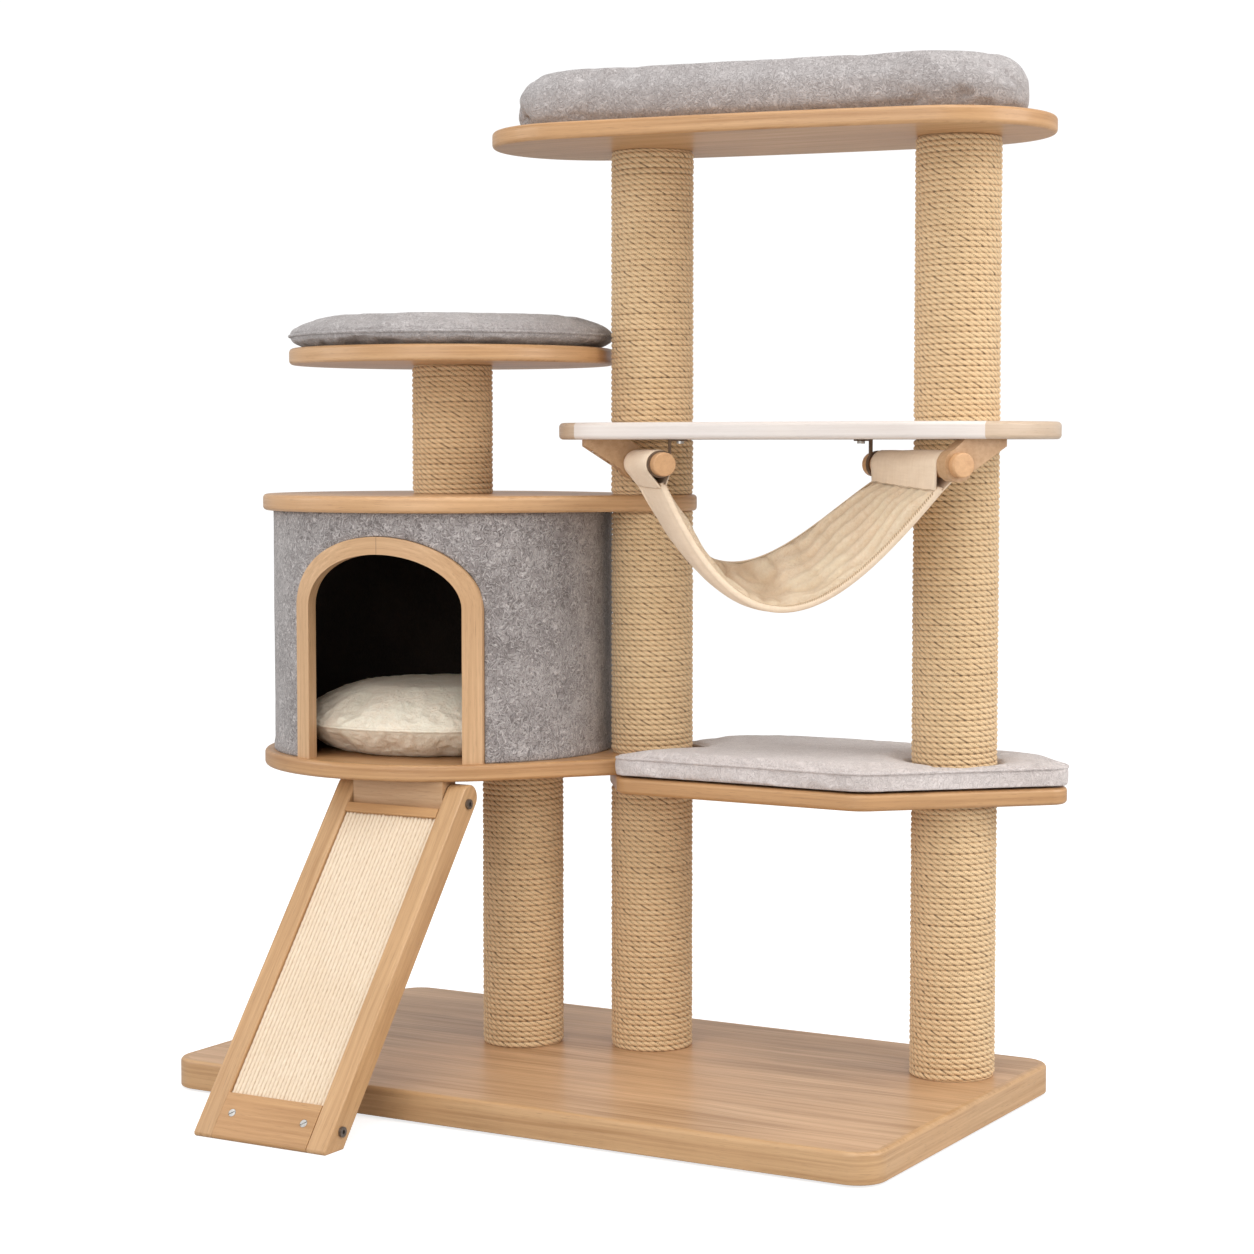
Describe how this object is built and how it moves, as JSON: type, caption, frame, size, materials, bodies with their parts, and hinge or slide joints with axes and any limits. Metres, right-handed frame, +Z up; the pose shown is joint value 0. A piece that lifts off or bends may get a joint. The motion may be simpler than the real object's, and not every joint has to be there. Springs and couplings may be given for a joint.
{
  "type": "cat tree",
  "caption": "Free-standing cat tree with rope-wound posts, drum den with arched door, scratching ramp, hammock shelf, padded platforms and loose cushions.",
  "frame": {"origin": "centre of the base's underside, on the floor, at the face of the middle foot pad", "axes": "+X to the right along the base's long side, +Y to the back, +Z up; the den's door and the ramp face -Y"},
  "size_m": [1.022, 0.6933, 1.2193],
  "materials": {
    "oak_base": "satin",
    "oak_band": "satin",
    "foot_pad": "matt",
    "tube_board": "matt",
    "sisal_rope": "matt",
    "plug_wood": "matt",
    "zinc_steel": "satin",
    "oak_board": "satin",
    "grey_felt": "matt",
    "wall_board": "matt",
    "dark_lining": "matt",
    "oak_trim": "satin",
    "cream_plush": "matt",
    "pale_shelf": "satin",
    "shelf_ends": "satin",
    "beech_dowel": "satin",
    "oak_arm": "satin",
    "dark_strap": "satin",
    "cream_canvas": "matt",
    "oak_rail": "satin",
    "ply_panel": "matt",
    "woven_mat": "matt",
    "dark_bolt": "satin"
  },
  "bodies": {
    "frame": {"base_panel": "oak_base", "base_edge_band": "oak_band", "base_feet": "foot_pad", "post_a_core": "tube_board", "post_b_low_core": "tube_board", "post_b_mid_core": "tube_board", "post_b_short_core": "tube_board", "post_b_top_core": "tube_board", "post_c_low_core": "tube_board", "post_c_mid_core": "tube_board", "post_c_top_core": "tube_board", "post_perch_core": "tube_board", "post_a_rope": "sisal_rope", "post_b_low_rope": "sisal_rope", "post_b_mid_rope": "sisal_rope", "post_b_short_rope": "sisal_rope", "post_b_top_rope": "sisal_rope", "post_c_low_rope": "sisal_rope", "post_c_mid_rope": "sisal_rope", "post_c_top_rope": "sisal_rope", "post_perch_rope": "sisal_rope", "post_end_plugs": "plug_wood", "joining_studs": "zinc_steel", "post_bolts": "zinc_steel", "hammock_screws": "zinc_steel", "hinge_block_screws": "zinc_steel", "lower_platform_board": "oak_board", "house_floor_board": "oak_board", "house_top_board": "oak_board", "perch_board": "oak_board", "top_platform_board": "oak_board", "lower_pad": "grey_felt", "house_felt_cover": "grey_felt", "house_wall": "wall_board", "house_lining": "dark_lining", "door_trim": "oak_trim", "den_cushion": "cream_plush", "shelf_board": "pale_shelf", "shelf_end_left": "shelf_ends", "shelf_end_right": "shelf_ends", "hammock_dowel_left": "beech_dowel", "hammock_dowel_right": "beech_dowel", "hammock_arm_left": "oak_arm", "hammock_arm_right": "oak_arm", "hammock_straps": "dark_strap", "hammock_cloth": "cream_canvas", "ramp_hinge_block": "oak_rail"},
    "ramp": {"ramp_rail_left": "oak_rail", "ramp_rail_right": "oak_rail", "ramp_top_rail": "oak_rail", "ramp_bottom_rail": "oak_rail", "ramp_backing_panel": "ply_panel", "ramp_mat": "woven_mat", "ramp_pivot_bolts": "dark_bolt", "ramp_side_bolts": "dark_bolt", "ramp_face_screws": "zinc_steel"},
    "top_cushion": {"top_cushion": "grey_felt"},
    "perch_cushion": {"perch_cushion": "grey_felt"}
  },
  "joints": [
    {"name": "ramp_pivot", "type": "hinge", "parent": "frame", "child": "ramp", "pos_m": [-0.206, -0.14, 0.358], "axis": [-1, 0, 0], "range_deg": [0, 50]},
    {"name": "top_cushion_lift", "type": "slide", "parent": "frame", "child": "top_cushion", "axis": [0, 0, 1], "range_m": [0, 0.12]},
    {"name": "perch_cushion_lift", "type": "slide", "parent": "frame", "child": "perch_cushion", "axis": [0, 0, 1], "range_m": [0, 0.12]}
  ]
}
